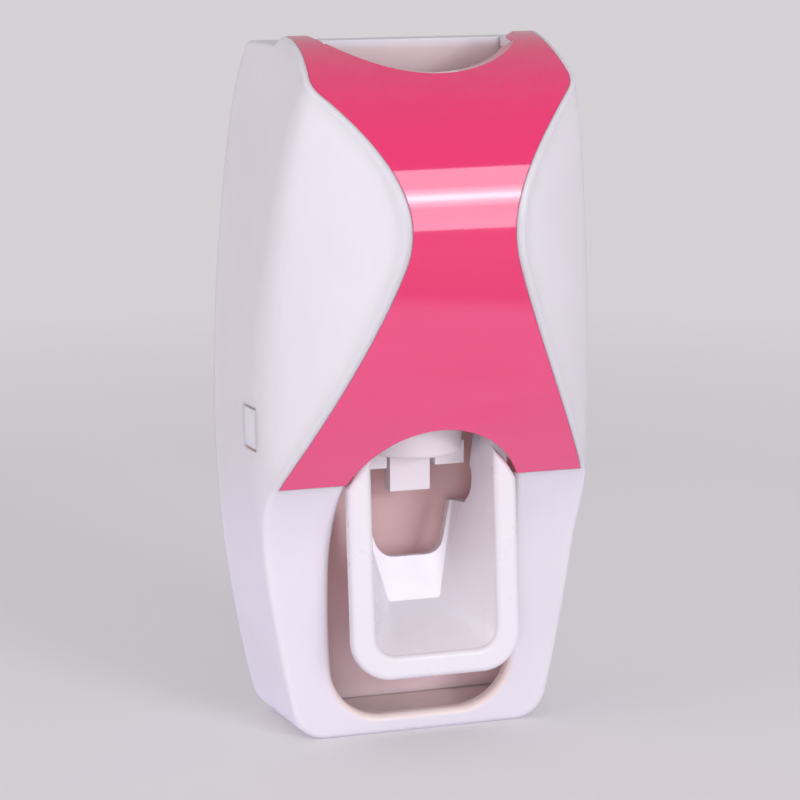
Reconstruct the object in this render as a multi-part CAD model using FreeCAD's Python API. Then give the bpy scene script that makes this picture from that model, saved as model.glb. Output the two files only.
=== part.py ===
import FreeCAD, Part
import math
import os

os.makedirs("parts", exist_ok=True)

# Wall-hung toothpaste dispenser. Lengths are in millimetres.
# The pieces are drawn from the foot of the housing: x to the viewer's right, depth forward from the
# housing's rear edge (along -Y) and z up. On export the origin moves to the middle of the wall face.

# General
overrun = 2.0
fit_clearance = 0.15
snap_clearance = 0.25
running_clearance = 0.06
seat_gap = 0.3
match_tolerance = 0.15

# Housing seen from the front
wide_half = 41.0
wide_height = 75.0
upper_flank_radius = 450.0
lower_flank_radius = 285.0
flank_draft_share = 0.05
low_draft_share = 0.085
crown_draft_share = 0.095
crown_turn_height = 143.0
crown_inset = 2.0
foot_corner_radius = 8.0
crown_corner_radius = 1.8
level_shares = (-0.03, 0.10, 0.24, 0.38, 0.52, 0.66, 0.80, 0.90, 0.96, 1.03)

# Housing seen from the side: lower face, chin, belly and the roll over the top
roll_radius = 40.0
belly_radius = 150.0
belly_height = 140.43
belly_turn = 11.5
chin_height = 59.0
chin_radius = 38.0
crown_depth = 19.0
crown_step = 2.5
rim_drop = 2.1

# Leaf-shaped flanks beside the panel, and their blend into the side walls
leaf_radius = 80.4
leaf_waist_half = 13.3
leaf_foot_half = 36.8
leaf_blend_radius = 18.0
crown_blend_radius = 8.0
front_edge_radius = 1.2
crease_angle = math.radians(8)

# Walls
side_wall = 2.2
front_wall = 3.2

# Panel
panel_thickness = 1.6
panel_margin = 0.9
panel_bond = 0.05
panel_shoulder_margin = 1.1
panel_foot_height = 60.4
arch_half = 20.15
arch_top = 73.0
arch_relief = 4.0

# Opening for the lever
recess_belly_half = 21.5
recess_belly_height = 47.0
recess_foot_half = 20.4
recess_foot_height = 4.3
recess_corner_radius = 12.5
recess_lip_radius = 1.5

# Tube mouth
mouth_radius = 43.0
mouth_drop = 7.3
mouth_half = 22.4
mouth_front_depth = 26.0
mouth_widening = 3.6
mouth_relief = 0.8

# Side windows with the cover's snap hooks
window_depth = 20.6
window_length = 7.7
window_height = 68.0
window_rise = 10.0
window_slot = 0.6
hook_flush = 0.1
snap_arm_thickness = 1.8
snap_arm_nose = 1.2

# Back cover
cover_depth = 3.4
cover_thickness = 2.2

# Cover screws
screw_radius = 1.3
screw_head_radius = 2.5
screw_head_height = 1.5
screw_hole_clearance = 0.2
cover_screw_length = 11.0
cover_screw_height = 17.0
cover_screw_top = 140.0
cover_boss_radius = 3.2
cover_boss_length = 12.0
cover_head_gap = 0.7

# Wall bracket with two hooks, and its foam tape
bracket_thickness = 2.4
bracket_gap = 0.7
bracket_half = 27.0
bracket_height = 62.0
bracket_foot = 70.0
bracket_corner_radius = 5.0
tape_thickness = 1.0
tape_margin = 3.0
hook_spacing = 36.0
hook_width = 10.0
hook_height = 118.0
hook_stem = 2.6
hook_lip = 1.8
hook_rise = 5.6
lift_travel = 6.5

# Pump on its upright axis
pump_gap = 3.4
chamber_radius = 11.0
chamber_bore = 8.6
chamber_foot = 76.0
chamber_top = 102.0
chamber_floor = 3.0
port_height = 86.0
port_radius = 9.4
port_bore = 6.0
port_reach = 1.2
ear_thickness = 3.0
ear_setback = 8.0
ear_half = 22.0
ear_rise = 9.0
pump_screw_inset = 4.5
pump_screw_length = 9.0
pump_boss_radius = 3.4

# Silicone bulb and its ring
bulb_flange = 1.2
bulb_base_radius = 6.8
bulb_height = 5.0
bulb_wall = 1.1
ring_wall = 1.6
ring_lip = 1.7
ring_skirt = 0.9

# Inlet valve, tube socket and seals
seat_radius = 9.6
seat_thickness = 1.6
seat_hole_radius = 1.1
seat_hole_ring = 4.4
seat_hole_count = 6
umbrella_radius = 6.6
umbrella_thickness = 0.9
umbrella_stem_radius = 1.2
umbrella_knob_radius = 1.9
umbrella_knob_height = 1.0
socket_wall = 2.4
socket_skirt = 3.4
socket_floor = 3.0
socket_floor_bore = 6.6
socket_height = 15.0
socket_funnel = 1.6
gasket_thickness = 1.0
neck_radius = 6.2
neck_seal_wall = 1.7
neck_seal_height = 9.0
neck_lip_thickness = 1.2
retainer_height = 2.4
retainer_wall = 1.5

# Outlet collar, valve and nozzle
collar_radius = 11.2
collar_foot = 64.4
collar_floor = 3.4
collar_edge_radius = 1.2
spigot_radius = 8.0
spigot_bore = 4.5
lug_inner = 5.8
lug_outer = 12.8
lug_depth = 5.0
lug_height = 4.2
nozzle_width = 9.6
nozzle_depth = 3.6
nozzle_setback = 3.3
nozzle_foot = 54.5
nozzle_wall = 0.7
nozzle_flange = 1.4
valve_flange = 1.4
duckbill_width = 5.0
duckbill_root = 1.8
duckbill_tip = 0.8
duckbill_length = 5.0
duckbill_slit = 0.3

# Push lever, drawn upright and then tilted about its trunnions
hinge_lead = 2.6
hinge_cover = 13.9
hinge_height = 104.0
lever_tilt = 5.5
rim_setback = 10.25
rim_half = 19.8
rim_band = 5.4
rim_thickness = 3.0
rim_corner_radius = 9.0
rim_inner_radius = 4.8
rim_edge_radius = 1.2
rim_arch_gap = 0.8
lever_foot = 16.8
lever_top = 70.0
bucket_wall = 2.0
trough_depth = 16.1
back_foot = 31.7
back_foot_half = 6.2
back_corner_radius = 1.0
back_flare_share = 0.234
back_lean_share = 0.184
back_wall_top = 53.5
side_wall_reach = 12.6
side_notch_radius = 4.0
side_notch_height = 9.0
side_notch_step = 2.0
brush_window_half = 7.2
brush_window_foot = 41.7
brush_window_radius = 4.5
brush_window_flare_share = 0.29
arm_thickness = 2.8
arm_foot = 60.0
arm_root = 9.75
arm_knee_drop = 2.0
arm_knee_reach = 1.05
arm_knee_width = 5.0
arm_setback = 1.5
hub_radius = 4.4
trunnion_radius = 2.4
trunnion_length = 5.6
boss_gap = 0.5
boss_wall = 1.8
bar_height = 8.0
bar_thickness = 2.2
bar_gap = 0.3

# Worked out from the sizes above, from the cover forward to the front and then up
cover_front = cover_depth + cover_thickness
pump_axis = cover_front + pump_gap + chamber_radius
ear_depth = pump_axis - ear_setback
port_face = pump_axis + chamber_radius + port_reach
bulb_seat = port_face + bulb_flange
bulb_tip = bulb_seat + bulb_height
hinge_depth = bulb_tip + hinge_lead
body_depth = hinge_depth + hinge_cover
roll_depth = body_depth - roll_radius
turn_cos = math.cos(math.radians(belly_turn))
turn_sin = math.sin(math.radians(belly_turn))
belly_depth = roll_depth - (belly_radius - roll_radius) * turn_cos
roll_height = belly_height - (belly_radius - roll_radius) * turn_sin
crown_end = math.acos((crown_depth - roll_depth) / roll_radius)
crown_top = roll_height + roll_radius * math.sin(crown_end)
rim_height = crown_top - rim_drop
chin_angle = math.asin((belly_height - chin_height) / belly_radius)
chin_centre_depth = belly_depth + (belly_radius + chin_radius) * math.cos(chin_angle)
chin_centre_height = belly_height - (belly_radius + chin_radius) * math.sin(chin_angle)
low_depth = chin_centre_depth - chin_radius
socket_radius = chamber_radius + fit_clearance + socket_wall
socket_foot = chamber_top + gasket_thickness
socket_base = socket_foot + socket_floor
socket_top = socket_base + socket_height
socket_bore = socket_radius - socket_wall
seal_top = socket_base + neck_seal_height
spigot_foot = collar_foot + collar_floor + nozzle_flange + valve_flange
bracket_rear = cover_depth - bracket_gap - bracket_thickness
wall_depth = bracket_rear - tape_thickness
arch_rise = arch_top - panel_foot_height
arch_radius = (arch_half ** 2 + arch_rise ** 2) / (2 * arch_rise)
rim_depth = hinge_depth - rim_setback
back_depth = rim_depth - trough_depth
bar_drop = (hinge_height - port_height) * math.sin(math.radians(lever_tilt))
bar_rear = hinge_depth - (hinge_lead - bar_gap + bar_drop) / math.cos(math.radians(lever_tilt))
origin = FreeCAD.Vector(0, -wall_depth, bracket_foot + bracket_height / 2)


def at(x, depth, z):
    return FreeCAD.Vector(x, -depth, z)


def arc(first, middle, last):
    return Part.Arc(first, middle, last).toShape()


def line(first, last):
    return Part.LineSegment(first, last).toShape()


def box(x0, x1, d0, d1, z0, z1):
    return Part.makeBox(x1 - x0, d1 - d0, z1 - z0, at(x0, d1, z0))


def upright(radius, z0, z1, depth=pump_axis):
    return Part.makeCylinder(radius, z1 - z0, at(0, depth, z0), FreeCAD.Vector(0, 0, 1))


def forward(radius, d0, d1, x, z):
    return Part.makeCylinder(radius, d1 - d0, at(x, d0, z), FreeCAD.Vector(0, -1, 0))


def across(radius, x0, x1, depth, z):
    return Part.makeCylinder(radius, x1 - x0, at(x0, depth, z), FreeCAD.Vector(1, 0, 0))


def ring(outer, inner, z0, z1):
    return upright(outer, z0, z1).cut(upright(inner, z0 - overrun, z1 + overrun))


def front_prism(edges, d0, d1):
    """Solid between two depths from an outline drawn at depth zero."""
    solid = Part.Face(Part.Wire(edges)).extrude(FreeCAD.Vector(0, d0 - d1, 0))
    solid.translate(FreeCAD.Vector(0, -d0, 0))
    return solid


def circle_point(radius, angle, depth, height):
    return at(0, depth + radius * math.cos(angle), height + radius * math.sin(angle))


def front_depth(z):
    """Depth of the belly's face at a level between the chin and the roll."""
    return belly_depth + math.sqrt(belly_radius ** 2 - (belly_height - z) ** 2)


def flank_half(z):
    """Half width of the housing's rear edge at a level; it closes in faster near the crown."""
    radius = upper_flank_radius if z > wide_height else lower_flank_radius
    turn = max(0, (z - crown_turn_height) / (crown_top - crown_turn_height))
    return wide_half - radius + math.sqrt(radius ** 2 - (z - wide_height) ** 2) - crown_inset * turn ** 2


def leaf_centre():
    """Centre of the leaf's arc through the waist and foot corners of the front."""
    x0, d0 = leaf_waist_half, body_depth
    x1, d1 = leaf_foot_half, front_depth(panel_foot_height)
    half = math.hypot(x1 - x0, d1 - d0) / 2
    reach = math.sqrt(leaf_radius ** 2 - half ** 2)
    return ((x0 + x1) / 2 - reach * (d0 - d1) / (2 * half),
            (d0 + d1) / 2 - reach * (x1 - x0) / (2 * half))


def section(z, side_inset, leaf_inset, rear):
    """Level section of the housing: side lines, blends and leaf arcs."""
    cx, cd = leaf_centre()
    rise = max(0, (z - wide_height) / (crown_top - wide_height))
    fall = min(1, max(0, (wide_height - z) / (wide_height - chin_centre_height)))
    draft = flank_draft_share + (crown_draft_share - flank_draft_share) * rise
    draft += (low_draft_share - flank_draft_share) * fall
    leaf = leaf_radius - leaf_inset
    blend = leaf_blend_radius + (crown_blend_radius - leaf_blend_radius) * rise - leaf_inset
    slope = math.hypot(1, draft)
    side = flank_half(z) - side_inset * slope
    # The blend circle touches the side line and the leaf circle from inside.
    run = side - blend * slope - cx
    a = slope ** 2
    b = 2 * (-cd - draft * run)
    c = run ** 2 + cd ** 2 - (leaf - blend) ** 2
    bd = (-b + math.sqrt(b ** 2 - 4 * a * c)) / (2 * a)
    bx = cx + run - draft * bd
    angle_side = math.atan2(draft, 1)
    angle_leaf = math.atan2(bd - cd, bx - cx)
    angle_apex = math.acos(-cx / leaf)

    def blend_at(angle):
        return bx + blend * math.cos(angle), bd + blend * math.sin(angle)

    def leaf_at(angle):
        return cx + leaf * math.cos(angle), cd + leaf * math.sin(angle)

    places = [(side - draft * rear, rear), blend_at(angle_side),
              blend_at((angle_side + angle_leaf) / 2), blend_at(angle_leaf),
              leaf_at((angle_leaf + angle_apex) / 2), leaf_at(angle_apex)]
    right = [at(x, d, z) for x, d in places]
    left = [at(-x, d, z) for x, d in places]
    edges = [line(right[0], right[1]), arc(*right[1:4]), arc(*right[3:6]),
             arc(left[5], left[4], left[3]), arc(left[3], left[2], left[1]),
             line(left[1], left[0]), line(left[0], right[0])]
    return Part.Wire(edges)


def plan(side_inset, leaf_inset, rear):
    """Loft of the level sections, taller than the housing."""
    wires = [section(share * crown_top, side_inset, leaf_inset, rear) for share in level_shares]
    return Part.makeLoft(wires, True, False)


def front_line(inset, end):
    """Edges of the belly and the roll at an inset, up to an angle on the roll."""
    belly = belly_radius - inset
    roll = roll_radius - inset
    start = -chin_angle
    turn = -math.radians(belly_turn)
    points = [circle_point(belly, a, belly_depth, belly_height) for a in (start, (start + turn) / 2)]
    points += [circle_point(roll, a, roll_depth, roll_height) for a in (turn, (turn + end) / 2, end)]
    return [arc(*points[0:3]), arc(*points[2:5])], points[0], points[4]


def profile(inset, base_inset, end, rear, crown):
    """Side profile of the housing spread over more than its width."""
    edges, chin, top = front_line(inset, end)
    hollow = chin_radius + inset
    low = chin_centre_depth - hollow
    mid = math.pi - chin_angle / 2
    chin_foot = at(0, low, chin_centre_height)
    chin_mid = circle_point(hollow, mid, chin_centre_depth, chin_centre_height)
    foot = at(0, low, base_inset)
    tail = [at(0, crown_depth - crown_step, rim_height)] if crown else []
    tail += [at(0, rear, tail[0].z if crown else top.z), at(0, rear, base_inset), foot]
    edges += [arc(chin, chin_mid, chin_foot), line(chin_foot, foot)]
    corner = top
    for point in tail:
        edges.append(line(corner, point))
        corner = point
    face = Part.Face(Part.Wire(Part.__sortEdges__(edges)))
    half = wide_half + overrun
    solid = face.extrude(FreeCAD.Vector(2 * half, 0, 0))
    solid.translate(FreeCAD.Vector(-half, 0, 0))
    return solid


def front_slab(outer, inner, end):
    """Layer of the belly and roll between two insets, up to an angle on the roll."""
    near, near_start, near_end = front_line(outer, end)
    far, far_start, far_end = front_line(inner, end)
    edges = near + far + [line(near_start, far_start), line(near_end, far_end)]
    half = wide_half + overrun
    solid = Part.Face(Part.Wire(Part.__sortEdges__(edges))).extrude(FreeCAD.Vector(2 * half, 0, 0))
    solid.translate(FreeCAD.Vector(-half, 0, 0))
    return solid


def crease_edges(solid, wanted):
    """Edges where two faces meet at an angle and whose middle point is wanted."""
    found = []
    for edge in solid.Edges:
        middle = edge.valueAt((edge.FirstParameter + edge.LastParameter) / 2)
        if not wanted(middle):
            continue
        first, second = solid.ancestorsOfType(edge, Part.Face)
        normals = [face.normalAt(*face.Surface.parameter(middle)) for face in (first, second)]
        if normals[0].getAngle(normals[1]) > crease_angle:
            found.append(edge)
    return found


def envelope():
    """Outer form of the housing with its rounded corners and front edges."""
    solid = plan(0, 0, 0).common(profile(0, 0, crown_end, 0, True)).Solids[0]
    corners = crease_edges(solid, lambda m: abs(m.z) < match_tolerance and abs(m.x) > recess_foot_half)
    solid = solid.makeFillet(foot_corner_radius, corners)
    corners = crease_edges(solid, lambda m: abs(m.z - rim_height) < match_tolerance
                           and abs(m.x) > leaf_waist_half)
    solid = solid.makeFillet(crown_corner_radius, corners)
    fronts = crease_edges(solid, lambda m: m.y < -crown_depth - match_tolerance)
    return solid.makeFillet(front_edge_radius, fronts)


def cavity(inset):
    """Inside of the housing, open to the rear."""
    hollow = plan(side_wall + inset, side_wall + inset, -overrun)
    end = math.asin((rim_height - roll_height - side_wall - inset) / (roll_radius - front_wall - inset))
    return hollow.common(profile(front_wall + inset, side_wall + inset, end, -overrun, False))


def recess():
    """Cutter for the lever's opening: arch, bowed sides and rounded foot corners."""
    top = [at(-arch_half, 0, panel_foot_height), at(0, 0, arch_top), at(arch_half, 0, panel_foot_height)]
    belly = [at(s * recess_belly_half, 0, recess_belly_height) for s in (1, -1)]
    foot = [at(s * recess_foot_half, 0, recess_foot_height) for s in (1, -1)]
    edges = [arc(*top), arc(top[2], belly[0], foot[0]), line(foot[0], foot[1]),
             arc(foot[1], belly[1], top[0])]
    solid = front_prism(edges, low_depth - front_wall - overrun, body_depth)
    corners = crease_edges(solid, lambda m: abs(m.z - recess_foot_height) < match_tolerance
                           and abs(m.x) > recess_corner_radius)
    return solid.makeFillet(recess_corner_radius, corners)


def arch_clearance():
    """Room behind the panel's arch for the top of the lever's rim."""
    disc = forward(arch_radius + arch_relief, low_depth - front_wall, body_depth, 0, arch_top - arch_radius)
    return disc.common(box(-wide_half, wide_half, 0, body_depth, panel_foot_height, crown_top))


def mouth(widening, relief):
    """Cutter for the tube mouth: an upright well from the cover on, and a scoop in the panel's top."""
    half = mouth_half + widening
    well = box(-half, half, cover_depth, mouth_front_depth, roll_height, crown_top + overrun)
    return well.fuse(forward(mouth_radius + relief, cover_front, body_depth + overrun, 0,
                             crown_top - mouth_drop + mouth_radius))


def panel_blank(outer, inner, loosen, end):
    """Hourglass layer of the front between two insets."""
    outline = plan(panel_shoulder_margin - loosen, panel_margin - loosen, 0)
    solid = front_slab(outer, inner, end).common(outline)
    below = box(-wide_half, wide_half, 0, 2 * body_depth, -overrun, panel_foot_height - loosen)
    return solid.cut(below)


def window(side, margin, inner, outer):
    """Piece of the side wall's window between two insets of the wall."""
    x0, x1 = sorted((side * leaf_waist_half, side * (wide_half + overrun)))
    block = box(x0, x1, window_depth + margin, window_depth + window_length - margin,
                window_height, window_height + window_rise)
    return block.common(plan(outer, outer, 0)).cut(plan(inner, inner, 0))


def cover_screw_places():
    places = []
    for height in (cover_screw_height, cover_screw_top):
        reach = flank_half(height) - side_wall - screw_head_radius - cover_head_gap
        places += [(reach, height), (-reach, height)]
    return places


def arm_outer():
    return rim_half - rim_band + bucket_wall + seat_gap + arm_thickness / 2


def front_shell():
    body = envelope()
    skin = body.Shells[0]
    shell = body.cut(cavity(0)).cut(recess())
    pocket = panel_blank(-overrun, panel_thickness + panel_bond, running_clearance, math.pi / 2)
    shell = shell.cut(pocket)
    shell = shell.cut(arch_clearance()).Solids[0]
    lip_top = panel_foot_height - running_clearance - match_tolerance
    lip = crease_edges(shell, lambda m: abs(m.x) < recess_belly_half + match_tolerance
                       and recess_foot_height - match_tolerance < m.z < lip_top
                       and skin.distToShape(Part.Vertex(m))[0] < match_tolerance)
    shell = shell.makeFillet(recess_lip_radius, lip)
    shell = shell.cut(mouth(mouth_widening, mouth_relief))
    room = cavity(-side_wall / 2)
    bore = trunnion_radius + running_clearance
    for side in (1, -1):
        x0, x1 = sorted((side * (arm_outer() + boss_gap), side * wide_half))
        shell = shell.fuse(across(bore + boss_wall, x0, x1, hinge_depth, hinge_height).common(room))
        end = side * (arm_outer() + trunnion_length + seat_gap)
        x0, x1 = sorted((side * arm_outer(), end))
        shell = shell.cut(across(bore, x0, x1, hinge_depth, hinge_height))
        shell = shell.cut(window(side, 0, side_wall + overrun, -overrun))
    for x, z in cover_screw_places():
        boss = forward(cover_boss_radius, cover_front, cover_front + cover_boss_length, x, z)
        hole_end = cover_depth + cover_screw_length + seat_gap
        hole = forward(screw_radius + running_clearance, 0, hole_end, x, z)
        shell = shell.fuse(boss.common(room)).cut(hole)
    return shell.removeSplitter()


def front_panel():
    return panel_blank(0, panel_thickness, 0, crown_end).cut(recess()).cut(mouth(0, 0))


def back_cover():
    slab = box(-wide_half, wide_half, cover_depth, cover_front, 0, crown_top)
    cover = cavity(fit_clearance).common(slab)
    # The tongue hooks up in front of the shell's lip and makes the mouth's rear wall.
    tongue_half = mouth_half + mouth_widening - fit_clearance
    tongue_foot = rim_height - side_wall - overrun
    cover = cover.fuse(box(-tongue_half, tongue_half, cover_depth + fit_clearance, cover_front,
                           tongue_foot, rim_height))
    gap = side_wall + snap_clearance
    for side in (1, -1):
        x0, x1 = sorted((side * leaf_waist_half, side * wide_half))
        arm = box(x0, x1, cover_depth, window_depth + window_length + snap_arm_nose,
                  window_height + window_slot, window_height + window_rise - window_slot)
        arm = arm.common(plan(gap, gap, 0)).cut(plan(gap + snap_arm_thickness, gap + snap_arm_thickness, 0))
        hook = window(side, running_clearance, gap + snap_arm_thickness / 2, hook_flush)
        hook = hook.common(box(x0, x1, 0, body_depth, window_height + window_slot,
                               window_height + window_rise - window_slot))
        cover = cover.fuse(arm).fuse(hook)
        boss_x = side * (ear_half - pump_screw_inset)
        cover = cover.fuse(forward(pump_boss_radius, cover_depth, ear_depth, boss_x, port_height))
        pilot = ear_depth + ear_thickness - pump_screw_length - seat_gap
        cover = cover.cut(forward(screw_radius + running_clearance, pilot, ear_depth + overrun,
                                  boss_x, port_height))
        hook_x = side * hook_spacing / 2
        half = hook_width / 2 + snap_clearance
        cover = cover.cut(box(hook_x - half, hook_x + half, 0, cover_front + overrun,
                              hook_height - lift_travel - seat_gap, hook_height + hook_stem + fit_clearance))
    for x, z in cover_screw_places():
        cover = cover.cut(forward(screw_radius + screw_hole_clearance, 0, cover_front + overrun, x, z))
    return cover.removeSplitter()


def screw(x, head_depth, z, length, into):
    """Pan-head screw whose head seats at a depth and whose shank runs into the piece."""
    shank = [head_depth, head_depth + into * length]
    head = [head_depth - into * screw_head_height, head_depth]
    return forward(screw_head_radius, min(head), max(head), x, z).fuse(
        forward(screw_radius, min(shank), max(shank), x, z)).removeSplitter()


def cover_screws():
    return [screw(x, cover_depth, z, cover_screw_length, 1) for x, z in cover_screw_places()]


def pump_screws():
    return [screw(side * (ear_half - pump_screw_inset), ear_depth + ear_thickness, port_height,
                  pump_screw_length, -1) for side in (1, -1)]


def wall_bracket():
    plate = box(-bracket_half, bracket_half, bracket_rear, bracket_rear + bracket_thickness,
                bracket_foot, bracket_foot + bracket_height)
    corners = [e for e in plate.Edges if abs(e.BoundBox.YLength - bracket_thickness) < match_tolerance]
    plate = plate.makeFillet(bracket_corner_radius, corners)
    lip_rear = cover_front + snap_clearance
    for side in (1, -1):
        x = side * hook_spacing / 2
        span = (x - hook_width / 2, x + hook_width / 2)
        stem = box(*span, bracket_rear, lip_rear + hook_lip, hook_height, hook_height + hook_stem)
        lip = box(*span, lip_rear, lip_rear + hook_lip, hook_height, hook_height + hook_stem + hook_rise)
        plate = plate.fuse(stem).fuse(lip)
    return plate.removeSplitter()


def bracket_tape():
    half = bracket_half - tape_margin
    pad = box(-half, half, wall_depth, bracket_rear, bracket_foot + tape_margin,
              bracket_foot + bracket_height - tape_margin)
    corners = [e for e in pad.Edges if abs(e.BoundBox.YLength - tape_thickness) < match_tolerance]
    return pad.makeFillet(bracket_corner_radius - tape_margin, corners)


def pump_body():
    body = upright(chamber_radius, chamber_foot, chamber_top)
    body = body.fuse(forward(port_radius, pump_axis, port_face, 0, port_height))
    body = body.fuse(box(-ear_half, ear_half, ear_depth, ear_depth + ear_thickness,
                         port_height - ear_rise / 2, port_height + ear_rise / 2))
    body = body.fuse(upright(spigot_radius, spigot_foot, chamber_foot))
    body = body.cut(upright(chamber_bore, chamber_foot + chamber_floor, chamber_top + overrun))
    body = body.cut(upright(seat_radius + fit_clearance, chamber_top - seat_thickness, chamber_top + overrun))
    body = body.cut(upright(spigot_bore, spigot_foot - overrun, chamber_foot + chamber_floor + overrun))
    body = body.cut(forward(port_bore, pump_axis, port_face + overrun, 0, port_height))
    for side in (1, -1):
        body = body.cut(forward(screw_radius + screw_hole_clearance, 0, body_depth,
                                side * (ear_half - pump_screw_inset), port_height))
    return body.removeSplitter()


def pump_bulb():
    """Hollow dome with a flange, turned about the port's axis."""
    sphere = (bulb_base_radius ** 2 + bulb_height ** 2) / (2 * bulb_height)
    centre = bulb_tip - sphere
    hollow = sphere - bulb_wall
    rise = bulb_seat - centre

    def dome(radius, angle):
        return at(radius * math.cos(angle), centre + radius * math.sin(angle), port_height)

    base = math.asin(rise / sphere)
    inner = math.asin(rise / hollow)
    top = math.pi / 2
    inner_foot = at(hollow * math.cos(inner), port_face, port_height)
    edges = [arc(dome(sphere, base), dome(sphere, (base + top) / 2), dome(sphere, top)),
             line(dome(sphere, top), dome(hollow, top)),
             arc(dome(hollow, top), dome(hollow, (inner + top) / 2), dome(hollow, inner)),
             line(dome(hollow, inner), inner_foot),
             line(inner_foot, at(port_radius, port_face, port_height)),
             line(at(port_radius, port_face, port_height), at(port_radius, bulb_seat, port_height)),
             line(at(port_radius, bulb_seat, port_height), dome(sphere, base))]
    return Part.Face(Part.Wire(edges)).revolve(at(0, centre, port_height), FreeCAD.Vector(0, 1, 0), 360)


def bulb_ring():
    inside = port_radius + fit_clearance
    front = bulb_seat + ring_lip
    solid = forward(inside + ring_wall, port_face - ring_skirt, front, 0, port_height)
    solid = solid.cut(forward(inside, port_face - ring_skirt - overrun, bulb_seat, 0, port_height))
    hole = forward(bulb_base_radius + seat_gap, bulb_seat - overrun, front + overrun, 0, port_height)
    return solid.cut(hole)


def inlet_seat():
    foot = chamber_top - seat_thickness
    plate = upright(seat_radius, foot, chamber_top)
    plate = plate.cut(upright(umbrella_stem_radius + fit_clearance, foot - overrun, chamber_top + overrun))
    hole = upright(seat_hole_radius, foot - overrun, chamber_top + overrun)
    hole.translate(FreeCAD.Vector(seat_hole_ring, 0, 0))
    for i in range(seat_hole_count):
        turned_hole = hole.copy()
        turned_hole.rotate(at(0, pump_axis, 0), FreeCAD.Vector(0, 0, 1), 360 * i / seat_hole_count)
        plate = plate.cut(turned_hole)
    return plate


def inlet_valve():
    foot = chamber_top - seat_thickness
    solid = upright(umbrella_radius, foot - umbrella_thickness, foot)
    solid = solid.fuse(upright(umbrella_stem_radius, foot, chamber_top))
    knob = upright(umbrella_knob_radius, chamber_top, chamber_top + umbrella_knob_height)
    return solid.fuse(knob).removeSplitter()


def socket_seal():
    return ring(chamber_radius, socket_floor_bore, chamber_top, socket_foot)


def tube_socket():
    solid = upright(socket_radius, chamber_top - socket_skirt, socket_top)
    skirt_room = upright(chamber_radius + fit_clearance, chamber_top - socket_skirt - overrun, socket_foot)
    solid = solid.cut(skirt_room)
    solid = solid.cut(upright(socket_floor_bore, socket_foot - overrun, socket_base + overrun))
    solid = solid.cut(upright(socket_bore, socket_base, socket_top + overrun))
    funnel = Part.makeCone(socket_bore, socket_bore + socket_funnel, socket_funnel,
                           at(0, pump_axis, socket_top - socket_funnel), FreeCAD.Vector(0, 0, 1))
    return solid.cut(funnel)


def neck_seal():
    outer = socket_bore - fit_clearance
    inner = outer - neck_seal_wall
    solid = ring(outer, inner, socket_base, seal_top)
    for z in (socket_base + neck_lip_thickness, seal_top - 2 * neck_lip_thickness):
        solid = solid.fuse(ring(outer, neck_radius, z, z + neck_lip_thickness))
    return solid.removeSplitter()


def seal_retainer():
    outer = socket_bore - fit_clearance
    return ring(outer, outer - retainer_wall, seal_top, seal_top + retainer_height)


def nozzle_box(margin, z0, z1):
    centre = pump_axis - nozzle_setback
    half = nozzle_width / 2 + margin
    reach = nozzle_depth / 2 + margin
    return box(-half, half, centre - reach, centre + reach, z0, z1)


def outlet_collar():
    solid = upright(collar_radius, collar_foot, chamber_foot)
    lower = [e for e in solid.Edges if e.BoundBox.ZMax < collar_foot + match_tolerance]
    solid = solid.makeFillet(collar_edge_radius, lower)
    spigot_room = upright(spigot_radius + fit_clearance, collar_foot + collar_floor, chamber_foot + overrun)
    solid = solid.cut(spigot_room)
    for side in (1, -1):
        x0, x1 = sorted((side * lug_inner, side * lug_outer))
        centre = pump_axis - nozzle_setback
        solid = solid.fuse(box(x0, x1, centre - lug_depth / 2, centre + lug_depth / 2,
                               collar_foot - lug_height, collar_foot + collar_edge_radius))
    hole = nozzle_box(fit_clearance, collar_foot - overrun, collar_foot + collar_floor + overrun)
    return solid.cut(hole).removeSplitter()


def nozzle():
    foot = collar_foot + collar_floor
    solid = nozzle_box(0, nozzle_foot, foot)
    solid = solid.fuse(upright(spigot_radius - fit_clearance, foot, foot + nozzle_flange))
    return solid.cut(nozzle_box(-nozzle_wall, nozzle_foot - overrun, foot + overrun)).removeSplitter()


def outlet_valve():
    """Duckbill: a disc under the spigot and a flat beak that reaches into the nozzle."""
    foot = spigot_foot - valve_flange
    centre = pump_axis - nozzle_setback
    tip = foot - duckbill_length
    outline = [(-duckbill_root / 2, foot), (duckbill_root / 2, foot),
               (duckbill_tip / 2, tip), (-duckbill_tip / 2, tip)]
    beak = [at(-duckbill_width / 2, centre + d, z) for d, z in outline]
    solid = Part.Face(Part.makePolygon(beak + beak[:1])).extrude(FreeCAD.Vector(duckbill_width, 0, 0))
    solid = upright(spigot_radius - fit_clearance, foot, spigot_foot).fuse(solid)
    slit_half = duckbill_width / 2 - nozzle_wall
    return solid.cut(box(-slit_half, slit_half, centre - duckbill_slit / 2, centre + duckbill_slit / 2,
                         tip - overrun, spigot_foot + overrun)).removeSplitter()


def trough_wire(half, foot, radius, depth, top, flare_share=0, lean_share=0):
    """U-shaped outline whose sides may flare and whose plane may lean back going up."""
    side = FreeCAD.Vector(flare_share, 0, 1).normalize()
    floor = FreeCAD.Vector(-1, 0, 0)
    half_angle = side.getAngle(floor) / 2
    inward = (side + floor).normalize()
    corner = FreeCAD.Vector(half, 0, foot)
    places = [FreeCAD.Vector(half + flare_share * (top - foot), 0, top),
              corner + side * (radius / math.tan(half_angle)),
              corner + inward * (radius / math.sin(half_angle) - radius),
              corner + floor * (radius / math.tan(half_angle))]
    right = [at(v.x, depth - lean_share * (v.z - foot), v.z) for v in places]
    left = [FreeCAD.Vector(-v.x, v.y, v.z) for v in right]
    edges = [line(right[0], right[1]), arc(*right[1:4]), line(right[3], left[3]),
             arc(left[3], left[2], left[1]), line(left[1], left[0]), line(left[0], right[0])]
    return Part.Wire(edges)


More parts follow.
